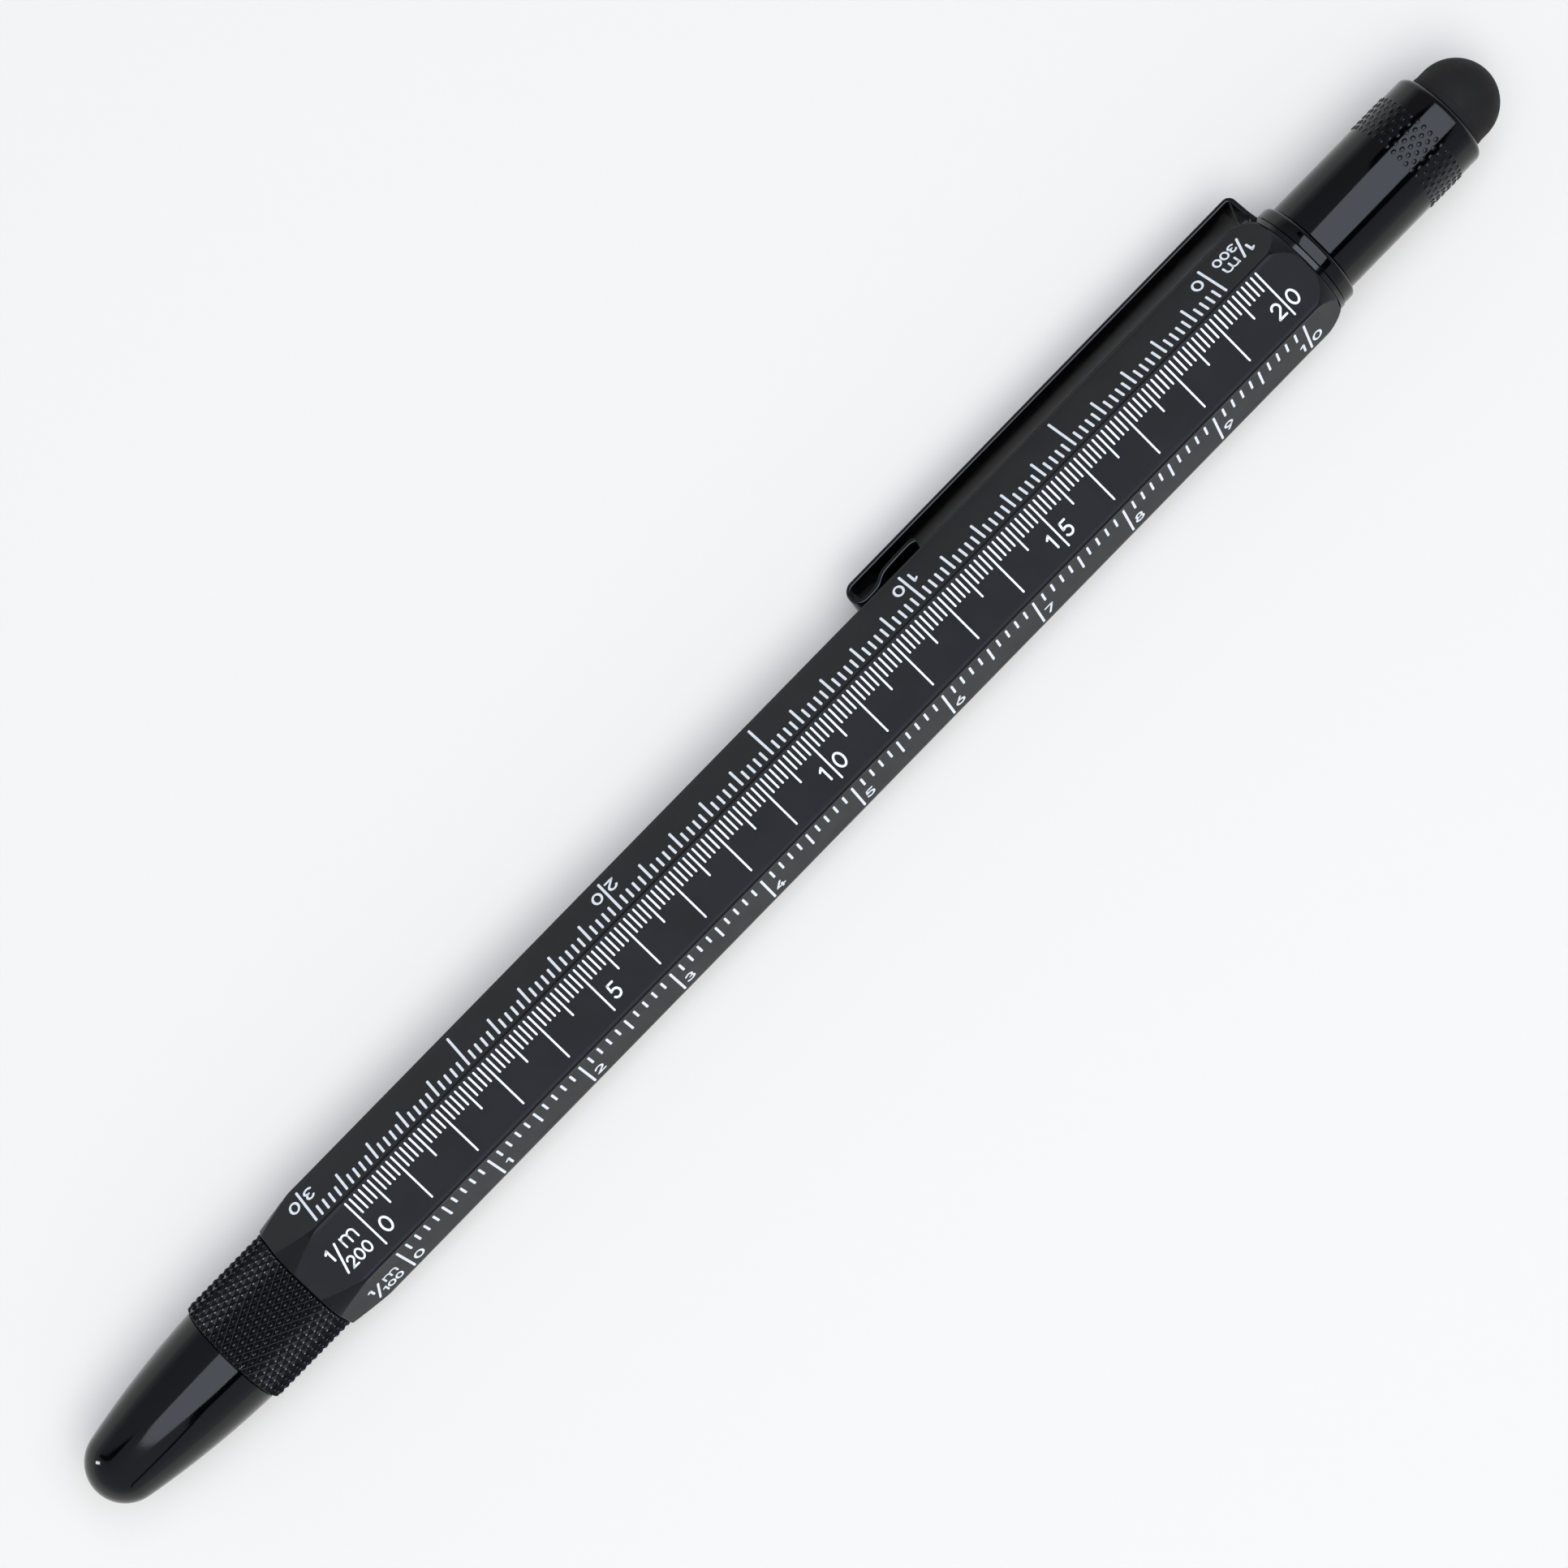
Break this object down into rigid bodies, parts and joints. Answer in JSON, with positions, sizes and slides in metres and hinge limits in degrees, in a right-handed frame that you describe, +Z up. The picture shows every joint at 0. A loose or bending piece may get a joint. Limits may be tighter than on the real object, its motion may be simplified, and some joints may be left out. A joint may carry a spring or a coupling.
{
  "type": "multi tool pen",
  "caption": "Six-sided tool pen with printed scales, folded spring clip, knurled pull-off cap, level, and a stylus-tipped cover over a reversible screwdriver bit.",
  "frame": {"origin": "on the desk, under the middle of the pen as it lies at rest, at the bottom centre of the overall box", "axes": "+X along the pen from the cap's nose to the stylus, +Y towards the clip, +Z up"},
  "size_m": [0.1548, 0.0132, 0.0104],
  "materials": {
    "barrel_satin": "satin black anodised",
    "gloss_black": "gloss black lacquer",
    "knurl_black": "matt black knurl",
    "clip_black": "gloss black spring steel",
    "bit_steel": "satin tool steel",
    "holder_steel": "dark steel",
    "ball_steel": "polished",
    "section_plastic": "satin black",
    "inner_plastic": "moulded grey",
    "liner_plastic": "moulded white",
    "cartridge_plastic": "thin clear tube with ink",
    "seal_rubber": "matt black",
    "stylus_rubber": "matt black",
    "vial_clear": "clear acrylic",
    "level_green": "tinted fluid",
    "bubble_clear": "bubble"
  },
  "bodies": {
    "barrel": {"hex_barrel": "barrel_satin", "clip_ring": "clip_black", "top_collar": "gloss_black", "cover_oring": "seal_rubber", "bit_holder": "holder_steel", "bit_magnet": "bit_steel", "level_carrier": "inner_plastic", "level_vial": "vial_clear", "level_fluid": "level_green", "level_plug_front": "liner_plastic", "level_plug_rear": "liner_plastic"},
    "section": {"grip_section": "section_plastic", "section_oring": "seal_rubber", "ink_feed": "inner_plastic", "roller_tip": "bit_steel"},
    "ball": {"roller_ball": "ball_steel"},
    "cap": {"cap_shell": "gloss_black", "knurled_ring": "knurl_black", "cap_liner": "liner_plastic"},
    "cartridge": {"ink_cartridge": "cartridge_plastic"},
    "cover": {"tool_cover": "gloss_black", "stylus_core": "inner_plastic", "stylus_dome": "stylus_rubber"},
    "bit": {"driver_bit": "bit_steel"},
    "clip": {"clip_arm": "clip_black"},
    "bubble": {"level_bubble": "bubble_clear"}
  },
  "joints": [
    {"name": "section_slide", "type": "slide", "parent": "barrel", "child": "section", "axis": [-1, 0, 0], "range_m": [0, 0.038]},
    {"name": "cap_slide", "type": "slide", "parent": "section", "child": "cap", "axis": [-1, 0, 0], "range_m": [0, 0.024]},
    {"name": "cartridge_slide", "type": "slide", "parent": "section", "child": "cartridge", "axis": [1, 0, 0], "range_m": [0, 0.006]},
    {"name": "ball_spin", "type": "hinge", "parent": "section", "child": "ball", "pos_m": [-0.07346, -0.00107, 0.0052], "axis": [0, 1, 0], "continuous": true},
    {"name": "cover_slide", "type": "slide", "parent": "barrel", "child": "cover", "axis": [1, 0, 0], "range_m": [0, 0.04]},
    {"name": "bit_slide", "type": "slide", "parent": "barrel", "child": "bit", "axis": [1, 0, 0], "range_m": [0, 0.02]},
    {"name": "clip_flex", "type": "hinge", "parent": "barrel", "child": "clip", "pos_m": [0.05614, 0.00346, 0.00336], "axis": [0, -0.3771, -0.9262], "range_deg": [0, 3], "stiffness_Nm_per_rad": 5},
    {"name": "bubble_slide", "type": "slide", "parent": "barrel", "child": "bubble", "axis": [1, 0, 0], "range_m": [-0.003, 0.003], "stiffness_N_per_m": 0.05}
  ],
  "couplings": [
    {"joint": "bit_slide", "follows": "cover_slide", "ratio": 0.5}
  ]
}
